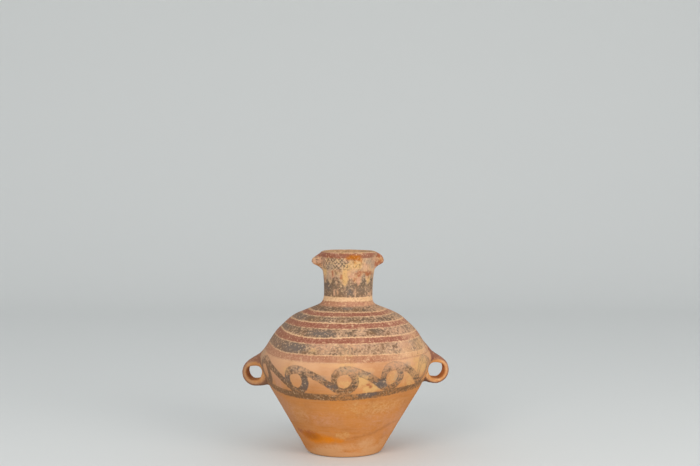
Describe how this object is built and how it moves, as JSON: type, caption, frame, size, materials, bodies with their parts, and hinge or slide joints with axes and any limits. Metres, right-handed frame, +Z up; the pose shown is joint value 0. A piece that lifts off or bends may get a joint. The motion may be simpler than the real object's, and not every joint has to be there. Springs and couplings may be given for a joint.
{
  "type": "water jug",
  "caption": "Hand-built earthenware water jug with a wide belly, a narrow neck, strap loop handles at the belly and small lugs under the lip.",
  "frame": {"origin": "centre of the flat underside of the foot", "axes": "+Z up through the mouth, +X across the handles toward the side that the jug leans to, +Y away from the painted front"},
  "size_m": [0.3743, 0.306, 0.36],
  "materials": {
    "earthenware": "matte unglazed fired clay with worn red and black painted bands"
  },
  "bodies": {
    "root": {"jug": "earthenware"}
  },
  "joints": []
}
